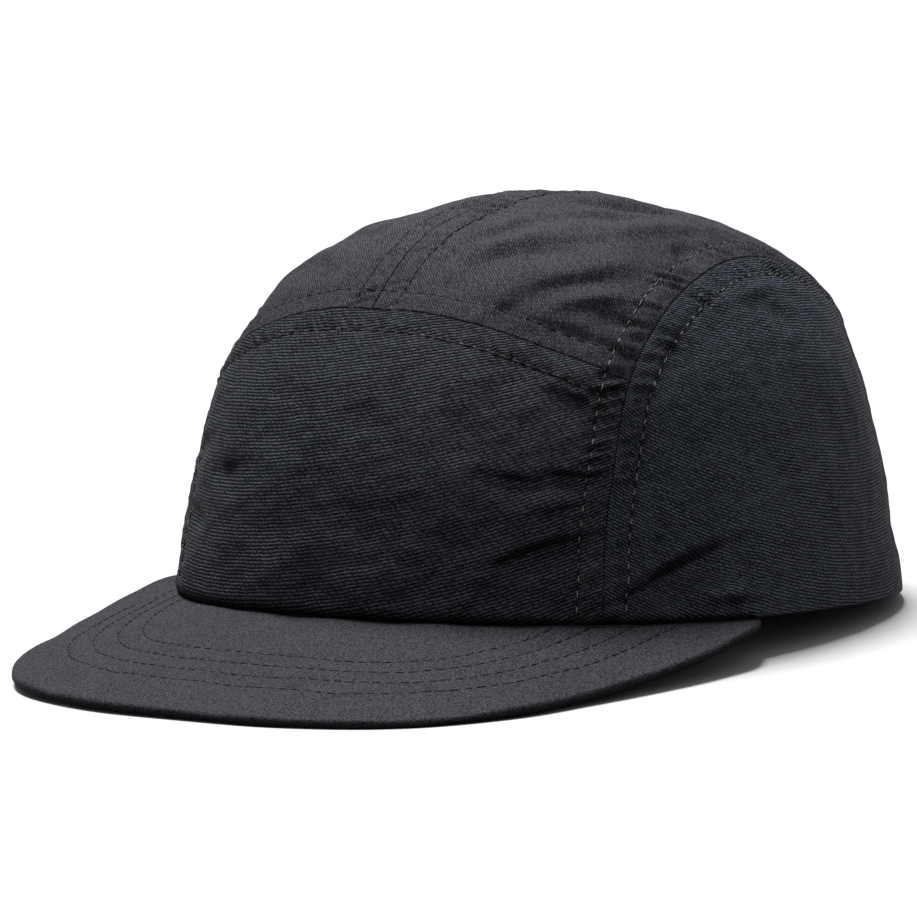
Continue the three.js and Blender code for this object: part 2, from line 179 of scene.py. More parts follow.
# Stitches
TOPSTITCH_INSET = 6.35
Stitch = namedtuple("Stitch", "pitch length width height")
TOPSTITCH = Stitch(3.75, 2.0, 0.26, 0.28)
CROSS_STITCH = Stitch(3.75, 2.1, 0.32, 0.32)
DARK_STITCH = Stitch(3.6, 2.9, 0.46, 0.42)
PEAK_STITCH = Stitch(3.35, 2.7, 0.34, 0.34)
# The near-black bodies at the needle holes are painted shadow, filling the channel between stitches
NEEDLE_HOLE_SHADOW = Stitch(0, 2.5, 0.5, 0.34)


def smoothstep(value, low, high):
    share = np.clip((value - low) / (high - low), 0, 1)
    return share * share * (3 - 2 * share)


def bell(distance, width):
    return np.exp(-((distance / width) ** 2))


def section_value(column, t, changes_sign):
    """A column of the crown's sections at share t of the way from hem to apex."""
    rows = np.array([getattr(row, column) for row in CROWN_SECTIONS], float)
    beyond = -rows[-2] if changes_sign else rows[-2]
    padded = np.concatenate([[2 * rows[0] - rows[1]], rows, [beyond]])
    place = np.clip(t, 0, 1) * (len(rows) - 1)
    row = np.minimum(place.astype(int), len(rows) - 2)
    u = place - row
    before, start, end, after = (padded[row + k] for k in range(4))
    square = 2 * before - 5 * start + 4 * end - after
    cube = 3 * start - before - 3 * end + after
    return 0.5 * (2 * start + (end - before) * u + square * u**2 + cube * u**3)


def crown(disc):
    """The crown's smooth surface over places on the disc."""
    x, y = disc[..., 0], disc[..., 1]
    radius = np.maximum(np.hypot(x, y), 1e-9)
    t = 1 - np.minimum(radius, 1)
    sin, cos = x / radius, -y / radius
    half_width = np.maximum(section_value("half_width", t, True), 1e-6)
    half_length = np.maximum(section_value("half_length", t, True), 1e-6)
    power = HEM_POWER + (APEX_POWER - HEM_POWER) * t
    reach = (np.abs(sin / half_width) ** power + np.abs(cos / half_length) ** power) ** (-1 / power)
    centre_y = section_value("centre_y", t, False)
    height = section_value("height", t, False)
    return np.stack([reach * sin, centre_y - reach * cos, height], -1)


def unit(vectors):
    return vectors / np.maximum(np.linalg.norm(vectors, axis=-1, keepdims=True), 1e-12)


def dot(vectors, others):
    return (vectors * others).sum(-1)


def crown_slopes(disc):
    """How the crown's surface moves along the disc's x and y."""
    step = SLOPE_STEP
    radius = np.maximum(np.hypot(disc[..., 0], disc[..., 1]), 1e-9)
    kept = disc * np.minimum(1, (1 - step) / radius)[..., None]
    ahead_x = np.array([step / 2, 0])
    ahead_y = np.array([0, step / 2])
    along_x = (crown(kept + ahead_x) - crown(kept - ahead_x)) / step
    along_y = (crown(kept + ahead_y) - crown(kept - ahead_y)) / step
    return along_x, along_y


def crown_normal(disc):
    return unit(np.cross(*crown_slopes(disc)))


def between(rise, slope, next_slope, u):
    """The rise at share u of a smooth stretch, from its whole rise and the slopes at its ends."""
    cube = slope + next_slope - 2 * rise
    return u * (slope + u * (3 * rise - 2 * slope - next_slope + u * cube))


def lengths_along(points):
    steps = np.linalg.norm(np.diff(points, axis=0), axis=1)
    return np.concatenate([[0], np.cumsum(steps)])


def knot_span(start, end):
    return np.sqrt(np.linalg.norm(end - start, axis=-1, keepdims=True))


def smooth_curve(points):
    """A centripetal Catmull-Rom curve through points, by share, the same share for each stretch."""
    points = np.array(points, float)
    padded = np.concatenate([[2 * points[0] - points[1]], points, [2 * points[-1] - points[-2]]])

    def at(share):
        place = np.clip(np.asarray(share, float), 0, 1) * (len(points) - 1)
        row = np.minimum(place.astype(int), len(points) - 2)
        u = (place - row)[..., None]
        before, start, end, after = (padded[row + k] for k in range(4))
        first, middle, last = knot_span(before, start), knot_span(start, end), knot_span(end, after)
        rise = end - start
        slope = (start - before) / first - (end - before) / (first + middle) + rise / middle
        next_slope = rise / middle - (after - start) / (middle + last) + (after - end) / last
        return start + between(rise, slope * middle, next_slope * middle, u)

    return at


def hem_place(angle):
    return np.stack([np.sin(angle), -np.cos(angle)], -1)


def hem_arc(start, end):
    return lambda share: hem_place(start + (end - start) * np.asarray(share, float))


seam_points = [hem_place(SIDE_SEAM_FRONT), *SIDE_SEAM, hem_place(SIDE_SEAM_BACK)]
SEAM_END = len(seam_points) - 1
whole_side_seam = smooth_curve(seam_points)


def side_seam(start, end):
    return lambda share: whole_side_seam((start + (end - start) * np.asarray(share, float)) / SEAM_END)


def cross_seam_y(x):
    return CROSS_MIDDLE + CROSS_SQUARE * x**2 + CROSS_FOURTH * x**4


def cross_seam(share):
    x = SIDE_SEAM[SEAM_JUNCTION - 1].x * np.asarray(share, float)
    return np.stack([x, cross_seam_y(x)], -1)


def mirrored(edge):
    return lambda share: edge(share) * np.array([-1, 1])


def reversed_edge(edge):
    return lambda share: edge(1 - np.asarray(share, float))


def evenly(edge):
    """The same edge with even steps along the crown, and its length."""
    shares = np.linspace(0, 1, 401)
    lengths = lengths_along(crown(edge(shares)))
    return (lambda share: edge(np.interp(share, lengths / lengths[-1], shares))), lengths[-1]


Panel = namedtuple("Panel", "bottom top left right")
low_seam = side_seam(0, SEAM_JUNCTION)
FRONT = Panel(
    hem_arc(-SIDE_SEAM_FRONT, SIDE_SEAM_FRONT),
    lambda share: cross_seam(2 * np.asarray(share, float) - 1),
    mirrored(low_seam),
    low_seam,
)
TOP_LEFT = Panel(
    cross_seam,
    hem_arc(math.pi, SIDE_SEAM_BACK),
    lambda share: np.stack([0 * share, CROSS_MIDDLE + (1 - CROSS_MIDDLE) * share], -1),
    side_seam(SEAM_JUNCTION, SEAM_END),
)
SIDE_LEFT = Panel(
    hem_arc(SIDE_SEAM_FRONT, SIDE_SEAM_BACK),
    side_seam(SEAM_JUNCTION, SEAM_SHOULDER),
    low_seam,
    reversed_edge(side_seam(SEAM_SHOULDER, SEAM_END)),
)


def mirror_panel(panel):
    return Panel(
        reversed_edge(mirrored(panel.bottom)),
        reversed_edge(mirrored(panel.top)),
        mirrored(panel.right),
        mirrored(panel.left),
    )


def in_batches(rows):
    """Rows in parts that are small enough to measure against a whole line at once."""
    return np.array_split(rows, max(1, len(rows) // BATCH))


class Line:
    """A line sewn or folded on the crown, as close points with their lengths and directions."""

    def __init__(self, disc_path):
        self.disc = disc_path
        self.points = crown(disc_path)
        self.lengths = lengths_along(self.points)
        self.along = unit(np.gradient(self.points, axis=0))
        self.aside = unit(np.cross(crown_normal(disc_path), self.along))
        if self.aside[:, 2].mean() < 0:
            self.aside = -self.aside

    def nearest(self, points, reach):
        """Each point's distance to the line, how far along the line that is, and whether the point
        lies above it. Points farther than reach from the line's box have an endless distance."""
        distance = np.full(len(points), np.inf)
        place = np.zeros(len(points))
        above = np.zeros(len(points), bool)
        low, high = self.points.min(0) - reach, self.points.max(0) + reach
        close = np.flatnonzero(((points > low) & (points < high)).all(1))
        for part in in_batches(close):
            apart = np.linalg.norm(points[part][:, None] - self.points[None], axis=2)
            nearest = apart.argmin(1)
            delta = points[part] - self.points[nearest]
            forward = dot(delta, self.along[nearest])
            distance[part] = np.linalg.norm(delta - forward[:, None] * self.along[nearest], axis=1)
            place[part] = self.lengths[nearest] + forward
            above[part] = dot(delta, self.aside[nearest]) > 0
        return distance, place, above


SEAM_STEPS = np.linspace(0, 1, 500)
seams = {
    "side_left": Line(whole_side_seam(SEAM_STEPS)),
    "side_right": Line(whole_side_seam(SEAM_STEPS) * np.array([-1, 1])),
    "cross": Line(FRONT.top(SEAM_STEPS)),
    "centre": Line(TOP_LEFT.left(SEAM_STEPS)),
}
hem_line = Line(hem_place(np.linspace(-math.pi, math.pi, 1200)))


def fold_line(fold):
    share = np.linspace(0, 1, 40)[:, None]
    start, middle, end = (np.array(p) for p in (fold[0:2], fold[2:4], fold[4:6]))
    control = 2 * middle - (start + end) / 2
    return Line((1 - share) ** 2 * start + 2 * share * (1 - share) * control + share**2 * end)


fold_lines = [(fold_line(fold), fold.width, fold.height) for fold in FOLDS]


class Ripple:
    """A gentle random unevenness: waves of many directions, or along one length. Waves lean away from
    an axis whose lean is under 1."""

    def __init__(self, seed, count, shortest, longest, dimensions, lean=1):
        random = np.random.default_rng(seed)
        directions = unit(random.normal(size=(count, dimensions)) * lean)
        waves = np.exp(random.uniform(np.log(shortest), np.log(longest), (count, 1)))
        self.turns = directions * 2 * math.pi / waves
        self.phases = random.uniform(0, 2 * math.pi, count)

    def at(self, points):
        return np.sin(points @ self.turns.T + self.phases).sum(-1) * math.sqrt(2 / len(self.phases))


# The shortest and longest of each seam's puckers, and how far they slant for each millimetre aside
PUCKER_WAVES = {"side_left": (2.6, 6), "side_right": (3, 7), "cross": (2.4, 5), "centre": (2.6, 5.5)}
PUCKER_SLANT = {"side_left": 0.45, "side_right": 0.45, "cross": 1.0, "centre": 0.5}
soft_waves = Ripple(3, 16, 16, 48, 3)
small_waves = Ripple(5, 24, 4.5, 13, 3, np.array([0.45, 1, 1]))
pucker_waves = {name: Ripple(10 + k, 6, *PUCKER_WAVES[name], 1) for k, name in enumerate(seams)}
pucker_strength = {name: Ripple(20 + k, 4, 20, 50, 1) for k, name in enumerate(seams)}

# Folds fade out near the hem. A fold's crest is shifted a little, and one of its flanks is steeper.
FOLD_FADE = 8
FOLD_ENDS = (0.12, 0.88)
FOLD_SHIFT = 0.34
STEEP = 0.55
GENTLE = 1.5

# The heights of the cloth's waves, and of the band and the stitched channel along each seam
SOFT_HEIGHT = 0.22
SMALL_HEIGHT = 0.1
BAND_HEIGHT = 0.22
BAND_EDGE = 0.8
CHANNEL_DEPTH = 0.26
CHANNEL_WIDTH = 1.0

# Puckers start and end at distances from their seam, and their strength varies in a range along it
PUCKER_START = (0.2, 2.5)
PUCKER_END = (5.5, 10.5)
PUCKER_RANGE = (0.3, 1.5)
SEWING_REACH = 12

# Painted shade in the cloth's colour: in creases, by how much less upwards the cloth looks there, and
# towards seams, by the distance in millimetres
CREASE_START = 0.06
CREASE_SPAN = 0.5
SHADE_START = 3
SHADE_REACH = 34
DEEPEST_SHADE = 1.15


def drape(disc, base):
    """The cloth's slow relief, which its inner face shares: folds and a general unevenness. Cloth
    sags, so a fold's flank that looks down is the steeper one."""
    height = np.zeros(len(disc))
    for line, width, tall in fold_lines:
        distance, place, above = line.nearest(base, 4 * width)
        share = np.clip(place / line.lengths[-1], *FOLD_ENDS)
        beyond = np.maximum(np.maximum(-place, place - line.lengths[-1]), 0)
        lift = np.where(above, distance, -distance) + FOLD_SHIFT * width
        looks_down = (lift > 0) == (tall < 0)
        flank = np.where(looks_down, STEEP, GENTLE) * width / math.sqrt(2)
        height += tall * np.sin(math.pi * share) * bell(lift, flank) * bell(beyond, width)
    height += SOFT_HEIGHT * soft_waves.at(base) + SMALL_HEIGHT * small_waves.at(base)
    height *= smoothstep(base[:, 2], -2, FOLD_FADE)
    return height + HEM_FLARE * (1 - smoothstep(base[:, 2], 0, HEM_FLARE_HEIGHT))


def edge_roll(distance, radius):
    """How far a turned edge drops as it nears the line where it ends."""
    inside = np.maximum(radius - distance, 0)
    return np.sqrt(np.maximum(radius**2 - inside**2, 0)) - radius


def over_peak(points):
    """Whether points of the hem stand over the peak."""
    return np.arctan2(np.abs(points[:, 0]), -points[:, 1]) < PEAK_HEM_ANGLE


def sewing(base, puckers):
    """The cloth's sharp relief along seams, topstitching and hem. The puckers are the height, in
    millimetres, to which each seam gathers this cloth."""
    height = np.zeros(len(base))
    for name, gathered in puckers.items():
        line = seams[name]
        distance, place, above = line.nearest(base, SEWING_REACH)
        near = np.isfinite(distance)
        distance, place, above = distance[near], place[near], above[near]
        slanted = (place + PUCKER_SLANT[name] * np.where(above, distance, -distance))[:, None]
        strength = np.clip(1 + 0.4 * pucker_strength[name].at(place[:, None]), *PUCKER_RANGE)
        window = smoothstep(distance, *PUCKER_START) * (1 - smoothstep(distance, *PUCKER_END))
        pucker = gathered * strength * pucker_waves[name].at(slanted) * window
        past_band = smoothstep(distance, TOPSTITCH_INSET - BAND_EDGE, TOPSTITCH_INSET + BAND_EDGE)
        band = BAND_HEIGHT * (1 - past_band)
        channel = CHANNEL_DEPTH * bell(distance - TOPSTITCH_INSET, CHANNEL_WIDTH)
        height[near] += pucker + band - channel + edge_roll(distance, SEAM_ROLL)
    distance, _, _ = hem_line.nearest(base, 4)
    near = np.isfinite(distance)
    radius = np.where(over_peak(base[near]), PEAK_HEM_ROLL, HEM_ROLL)
    height[near] += edge_roll(distance[near], radius)
    return height


def table_height(y):
    """The height of the table in the hem's frame."""
    return y * math.tan(REST_TILT) - HEM_CENTRE[2] / math.cos(REST_TILT)


def press_on_table(points):
    points[:, 2] = np.maximum(points[:, 2], table_height(points[:, 1]))
    return points


def turned_to_rest(vectors):
    """From the hem's frame to the table's, turned alone."""
    cos, sin = math.cos(REST_TILT), math.sin(REST_TILT)
    y = vectors[..., 1] * cos + vectors[..., 2] * sin
    z = vectors[..., 2] * cos - vectors[..., 1] * sin
    return np.stack([vectors[..., 0], y, z], -1)


def laid_to_rest(points):
    """From millimetres in the hem's frame to metres on the table."""
    return (turned_to_rest(points) + HEM_CENTRE) * MM


def cloth_face(disc, puckers):
    """The finished outer face of the cloth over places on the disc."""
    base = crown(disc)
    return base + crown_normal(disc) * (drape(disc, base) + sewing(base, puckers))[:, None]


# The materials

SHEEN_ROUGHNESS = 0.45


class Wire:
    """A value that a material's nodes work out. An expression on wires adds its Math nodes."""

    def __init__(self, finish, socket):
        self.finish = finish
        self.socket = socket

    def __add__(self, other):
        return self.finish.math("ADD", self, other)

    def __radd__(self, other):
        return self.finish.math("ADD", other, self)

    def __sub__(self, other):
        return self.finish.math("SUBTRACT", self, other)

    def __rsub__(self, other):
        return self.finish.math("SUBTRACT", other, self)

    def __mul__(self, other):
        return self.finish.math("MULTIPLY", self, other)

    def __rmul__(self, other):
        return self.finish.math("MULTIPLY", other, self)

    def __truediv__(self, other):
        return self.finish.math("DIVIDE", self, other)

    def __rtruediv__(self, other):
        return self.finish.math("DIVIDE", other, self)


class Finish:
    """A material in the making."""

    def __init__(self, name, roughness, sheen=0.0, specular=0.5):
        self.material = bpy.data.materials.new(name)
        self.material.use_nodes = True
        self.tree = self.material.node_tree
        self.shader = self.tree.nodes["Principled BSDF"]
        self.shader.inputs["Roughness"].default_value = roughness
        self.shader.inputs["Sheen Weight"].default_value = sheen
        self.shader.inputs["Sheen Roughness"].default_value = SHEEN_ROUGHNESS
        self.shader.inputs["Specular IOR Level"].default_value = specular

    def feed(self, socket, value):
        if isinstance(value, Wire):
            self.tree.links.new(value.socket, socket)
        else:
            socket.default_value = value

    def node(self, kind, settings=None, inputs=None, output=0):
        """A node of any kind: its settings first, then the values or wires of its sockets."""
        made = self.tree.nodes.new(kind)
        for name, value in (settings or {}).items():
            setattr(made, name, value)
        for name, value in (inputs or {}).items():
            self.feed(made.inputs[name], value)
        return Wire(self, made.outputs[output])

    def math(self, operation, *values):
        return self.node("ShaderNodeMath", {"operation": operation}, dict(enumerate(values)))

    def axes(self, vector):
        """The x, y and z of a vector."""
        split = self.node("ShaderNodeSeparateXYZ", None, {"Vector": vector}).socket.node
        return [Wire(self, output) for output in split.outputs]

    def noise(self, vector, scale, detail=2.0):
        inputs = {"Vector": vector, "Scale": scale, "Detail": detail}
        return self.node("ShaderNodeTexNoise", None, inputs, "Fac")

    def blend(self, share, dark, light):
        dark, light = (c if isinstance(c, Wire) else (*c, 1) for c in (dark, light))
        return self.node("ShaderNodeMix", {"data_type": "RGBA"}, {0: share, 6: dark, 7: light}, 2)

    def bump(self, height, distance):
        inputs = {"Height": height, "Distance": distance, "Strength": 1.0}
        return self.node("ShaderNodeBump", None, inputs, "Normal")

    def done(self, colour, normal=None):
        self.feed(self.shader.inputs["Base Color"], colour)
        if normal is not None:
            self.feed(self.shader.inputs["Normal"], normal)
        return self.material


def speckled(finish, place, tone, dark, light):
    """The cloth's colour at a tone, with yarns that are a little cooler and a little warmer."""
    cool = (light[0] * 0.9, light[1], light[2] * 1.12)
    warm = (light[0] * 1.14, light[1] * 1.02, light[2] * 0.84)
    yarn = finish.noise(place, YARN_SCALE, 1) * 3.0 - 1.0
    return finish.blend(tone, dark, finish.blend(yarn, cool, warm))


# The twill's unevenness. A scale is that of its noise over the cloth in metres, and what follows it is
# how far the noise moves a rib, in ribs, or a dash along its rib, in dashes.
YARN_SCALE = 1900
RIB_WANDER_SCALE, RIB_WANDER = 140, 0.9
RIB_JITTER_SCALE, RIB_JITTER = 520, 0.35
DASH_SLIP_SCALE, DASH_SLIP = 420, 1.2
GRIT_SCALE = 2000
MOTTLE_SCALE = 60

# How much further along a rib's dashes lie than those of the rib below, how far the cloth dips between
# dashes, how high flat cloth lies between ribs, and the lightest tone of a single yarn
DASH_STEP = 0.38
DASH_DIP = 0.42
FLAT_CLOTH = 0.7
LIGHTEST_TONE = 1.9


def twill_finish(name, period, slope, bend, dash, dark, light, relief, sheen=0.0, ribbed=1.0, shade=0.85):
    """Twill: ribs of floating yarn in a slanting run over the panel's grain. Each rib is a row of
    dashes. The colour is darker between ribs and between dashes, painted shade in the weave's hollows.
    Creases and the cloth near a seam are painted darker as shade too, by an attribute times the shade."""
    finish = Finish(name, 0.6, sheen, specular=0.02)
    grain = finish.node("ShaderNodeUVMap", {"uv_map": "grain"}, None, "UV")
    across, up, _ = finish.axes(grain)
    across = across * (1 / MM)
    up = up * (1 / MM)
    rib = (up - across * slope - across * across * bend) * (math.cos(math.atan(slope)) / period)
    rib = rib + finish.noise(grain, RIB_WANDER_SCALE, 2) * RIB_WANDER
    rib = rib + finish.noise(grain, RIB_JITTER_SCALE, 1) * RIB_JITTER
    number = finish.math("FLOOR", rib)
    rise = finish.math("SINE", (rib - number) * math.pi)
    slip = finish.noise(grain, DASH_SLIP_SCALE, 1) * DASH_SLIP
    turn = across / dash + number * DASH_STEP + slip
    float_wave = finish.math("SINE", turn * (2 * math.pi)) * 0.5 + 0.5
    raised = rise * (float_wave * DASH_DIP + (1 - DASH_DIP)) * ribbed + (1 - ribbed) * FLAT_CLOTH

    dash_number = finish.math("FLOOR", turn + 0.25)
    dash_place = finish.node("ShaderNodeCombineXYZ", None, {"X": dash_number, "Y": number})
    plane = {"noise_dimensions": "2D"}
    chance = finish.node("ShaderNodeTexWhiteNoise", plane, {"Vector": dash_place}, "Value")
    grit = finish.noise(grain, GRIT_SCALE, 2)
    mottle = finish.noise(grain, MOTTLE_SCALE, 3)
    # Tone: dark in the hollows between ribs and dashes as painted shade; the grit, each dash's chance and
    # the mottle are the yarn's own uneven tone
    tone = (raised * 1.2 - 0.15) * (grit * 5.2 - 1.6) * (chance * 0.7 + 0.65)
    tone = tone + mottle * 0.3 - 0.15
    tone = finish.math("MAXIMUM", finish.math("MINIMUM", tone, LIGHTEST_TONE), 0.0)
    # Painted shade in creases and towards seams, read from the panel's attribute
    painted_shade = finish.node("ShaderNodeAttribute", {"attribute_name": "painted_shade"}, None, "Fac")
    colour = speckled(finish, grain, tone * (1 - painted_shade * shade), dark, light)
    return finish.done(colour, finish.bump(raised + grit * 0.6, relief * MM))


# The three twills are one cloth, painted lighter or darker for the light on each panel: the side panels'
# colour is painted lighter and bluer, and the front's darker, than the top's. Each dark colour is the
# painted shade between yarns.
FRONT_TWILL = twill_finish(
    "front_twill",
    period=0.9,
    slope=0.15,
    bend=0.0018,
    dash=1.9,
    dark=(0.0008, 0.0009, 0.0013),
    light=(0.04, 0.0435, 0.053),
    relief=0.3,
)
SIDE_TWILL = twill_finish(
    "side_twill",
    period=0.87,
    slope=-0.02,
    bend=0.0026,
    dash=1.9,
    dark=(0.0008, 0.001, 0.0015),
    light=(0.053, 0.059, 0.077),
    relief=0.3,
    sheen=0.01,
)
TOP_TWILL = twill_finish(
    "top_twill",
    period=0.62,
    slope=-1.1,
    bend=0.0,
    dash=0.95,
    dark=(0.002, 0.0023, 0.0032),
    light=(0.048, 0.0498, 0.059),
    relief=0.2,
    ribbed=0.6,
    shade=0.34,
)


PEAK_GRIT_SCALE = 2700
PEAK_WEAVE_SCALE = 1300


def peak_finish():
    """The peak's smooth, tightly stretched cloth, painted nearly black on its lip and underside as shade.
    """
    finish = Finish("peak_cloth", 0.62, specular=0.02)
    place = finish.node("ShaderNodeTexCoord", None, None, "Object")
    grit = finish.noise(place, PEAK_GRIT_SCALE, 2)
    weave = finish.noise(place, PEAK_WEAVE_SCALE, 1)
    mottle = finish.noise(place, MOTTLE_SCALE, 3)
    tone = grit * 6.4 + weave * 1.4 + mottle * 0.35 - 3.53
    tone = finish.math("MAXIMUM", tone, 0.0)
    upper = speckled(finish, place, tone, (0.006, 0.0063, 0.0078), (0.0325, 0.034, 0.0392))
    # Painted shade: partway round the lip and all over the underside, the colour turns nearly black
    under = finish.node("ShaderNodeAttribute", {"attribute_name": "under"}, None, "Fac")
    colour = finish.blend(under, upper, (0.003, 0.0031, 0.0037))
    return finish.done(colour, finish.bump(grit + weave, 0.08 * MM))


def thread_finish(name, dark, light):
    """Sewing thread, twisted, with a tone that varies at random along it."""
    finish = Finish(name, 0.5, specular=0.05)
    place = finish.node("ShaderNodeTexCoord", None, None, "Object")
    tone = finish.noise(place, 700, 2) * 1.6 - 0.3
    twist = finish.noise(place, 3500, 1)
    return finish.done(finish.blend(tone, dark, light), finish.bump(twist, 0.05 * MM))


PEAK_CLOTH = peak_finish()
# The cap is sewn with one dark thread. The next two are lit copies of it: their lighter colour is a painted
# highlight, where the seams' thread catches the light. The dark thread is its own colour.
PAINTED_LIT_THREAD = thread_finish("thread_painted_lit", (0.03, 0.029, 0.027), (0.26, 0.25, 0.22))
CROSS_THREAD = thread_finish("thread_painted_half_lit", (0.003, 0.003, 0.0032), (0.1, 0.097, 0.09))
DARK_THREAD = thread_finish("dark_thread", (0.001, 0.001, 0.0013), (0.006, 0.006, 0.0065))
# Near-black, for painted shadow at the needle holes where the thread dives into the cloth
HOLE_SHADOW = thread_finish("needle_hole_shadow", (0.0008, 0.0008, 0.0008), (0.002, 0.002, 0.002))


# The cloth panels

EDGE_RINGS = np.array([0, 0.12, 0.3, 0.6, 1.1])
EVEN_START = 1.8


def end_rings(length, step):
    """Shares along a panel: close rings at both ends, where its edge turns in, and even steps."""
    rings = EDGE_RINGS / length
    count = max(4, round((length - 3) / step))
    middle = np.linspace(EVEN_START / length, 1 - EVEN_START / length, count)
    return np.concatenate([rings, middle, 1 - rings[::-1]])


def patch(panel, step):
    """A grid of places on the disc over the whole panel, a row for each step up it."""
    (bottom, low), (top, high) = evenly(panel.bottom), evenly(panel.top)
    (left, near), (right, far) = evenly(panel.left), evenly(panel.right)
    a = end_rings((low + high) / 2, step)
    b = end_rings((near + far) / 2, step)
    across, up = a[None, :, None], b[:, None, None]
    sides = (1 - across) * left(b)[:, None] + across * right(b)[:, None]
    ends = (1 - up) * bottom(a)[None] + up * top(a)[None]
    corners = (1 - up) * ((1 - across) * bottom(0.0) + across * bottom(1.0))
    corners = corners + up * ((1 - across) * top(0.0) + across * top(1.0))
    return sides + ends - corners


def grid_lengths(points, axis):
    """How far each point of a grid lies along its row or column."""
    steps = np.linalg.norm(np.diff(points, axis=axis), axis=2)
    return np.insert(np.cumsum(steps, axis), 0, 0, axis)


def grain_of(points):
    """How far each point of a grid lies across and up the cloth, in metres, from its bottom's middle."""
    across, up = grid_lengths(points, 1), grid_lengths(points, 0)
    middle = across.shape[1] // 2
    return np.stack([across - across[:, middle : middle + 1], up], -1).reshape(-1, 2) * MM


def drawn_in(face, normals):
    """A grid of points with its outermost rows and columns drawn in by the seam's gap."""
    moved = face.copy()
    for by_column in (False, True):
        grids = (face, normals, moved)
        grid, upright, target = (g.swapaxes(0, 1) for g in grids) if by_column else grids
        for edge, inner in ((0, 1), (-1, -2)):
            inwards = np.cross(upright[edge], unit(np.gradient(grid[edge], axis=0)))
            side = np.sign(dot(grid[inner] - grid[edge], inwards))
            target[edge] += inwards * side[:, None] * SEAM_GAP
    return moved


def crease_of(face, normals):
    """How much each point of a grid of cloth looks further down than the smooth crown does there, painted
    as shade.
    """
    shaped = unit(np.cross(np.gradient(face, axis=1), np.gradient(face, axis=0)))
    shaped = shaped * np.sign(dot(shaped, normals))[..., None]
    return np.clip((normals[..., 2] - shaped[..., 2] - CREASE_START) / CREASE_SPAN, 0, 1)


def seam_shade(base, shades):
    """Painted shade: a gentle darkening of the cloth's colour towards its seams."""
    total = np.zeros(len(base))
    for name, amount in shades.items():
        distance, _, _ = seams[name].nearest(base, SHADE_REACH)
        total += amount * (1 - smoothstep(distance, SHADE_START, SHADE_REACH))
    return total


def finish_piece(piece, name, material, smooth_angle=None):
    """Names a piece, gives it its material and smooth shading, and lets it ride on the cap."""
    piece.name = name
    piece.data.name = name
    piece.data.materials.clear()
    piece.data.materials.append(material)
    bpy.ops.object.select_all(action="DESELECT")
    piece.select_set(True)
    bpy.context.view_layer.objects.active = piece
    if smooth_angle is None:
        bpy.ops.object.shade_smooth()
    else:
        bpy.ops.object.shade_smooth_by_angle(angle=math.radians(smooth_angle))
    piece.select_set(False)
    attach(piece, "root")
    return piece


def cloth_panel(name, panel, material, node, puckers, shades, step):
    """A panel of the crown: a flat slab of cloth that is shaped over the crown, vertex by vertex."""
    disc = patch(panel, step)
    rows, columns = disc.shape[0] - 1, disc.shape[1] - 1
    bpy.ops.object.select_all(action="DESELECT")
    bpy.ops.mesh.primitive_grid_add(x_subdivisions=columns, y_subdivisions=rows, size=2)
    piece = bpy.context.object
    flat = np.array([v.co[:] for v in piece.data.vertices])
    column = np.rint((flat[:, 0] + 1) / 2 * columns).astype(int)
    row = np.rint((flat[:, 1] + 1) / 2 * rows).astype(int)
    solidify = piece.modifiers.new("cloth", "SOLIDIFY")
    solidify.thickness = 0.01
    solidify.offset = -1
    bpy.ops.object.modifier_apply(modifier=solidify.name)

    places = disc.reshape(-1, 2)
    base = crown(places)
    normals = crown_normal(places)
    slow = drape(places, base)[:, None]
    outer = base + normals * (slow + sewing(base, puckers)[:, None])
    outer[:, 2] -= np.where(over_peak(base), PEAK_HEM_DROP * (1 - smoothstep(base[:, 2], 0, 3)), 0)
    grid = (*disc.shape[:2], 3)
    # Painted shade, kept as an attribute of the outer face: darker in creases and towards seams
    painted_shade = crease_of(outer.reshape(grid), normals.reshape(grid)).ravel()
    painted_shade = np.minimum(painted_shade + seam_shade(base, shades), DEEPEST_SHADE)
    outer = drawn_in(outer.reshape(grid), normals.reshape(grid)).reshape(-1, 3)
    inner = base + normals * (slow - CLOTH)
    inner[:, 2] = np.maximum(inner[:, 2], INNER_HEM_HEIGHT)
    order = row * (columns + 1) + column
    shaped = laid_to_rest(press_on_table(np.concatenate([outer[order], inner[order]])))
    piece.data.vertices.foreach_set("co", shaped.astype(np.float32).ravel())

    shade = piece.data.attributes.new("painted_shade", "FLOAT", "POINT")
    shade.data.foreach_set("value", np.concatenate([painted_shade[order], 0 * painted_shade]).astype(np.float32))
    grain = np.tile(grain_of(base.reshape(grid))[order], (2, 1))
    corners = np.zeros(len(piece.data.loops), int)
    piece.data.loops.foreach_get("vertex_index", corners)
    layer = piece.data.uv_layers.active or piece.data.uv_layers.new()
    layer.name = "grain"
    layer.data.foreach_set("uv", grain[corners].astype(np.float32).ravel())
    piece.data.update()
    finish_piece(piece, name, material, smooth_angle=55)
    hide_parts(node)


# How high each seam puckers each panel, in millimetres, and how much painted shade it lays on the cloth
# near it
FRONT_PUCKERS = {"cross": 0.12, "side_left": 0.21, "side_right": 0.1}
TOP_PUCKERS = {"centre": 0.24, "cross": 0.07}
TOP_SIDE_PUCKER = {"left": 0.23, "right": 0.12}
SIDE_PUCKER = {"left": 0.2, "right": 0.1}
FRONT_SHADES = {"cross": 0.12}
TOP_CROSS_SHADE = 0.8
TOP_SIDE_SHADE = 0.75
SIDE_SHADE = 0.25

# The steps of each panel's grid, in millimetres
FRONT_STEP = 0.62
TOP_STEP = 0.85
SIDE_STEP = 0.7

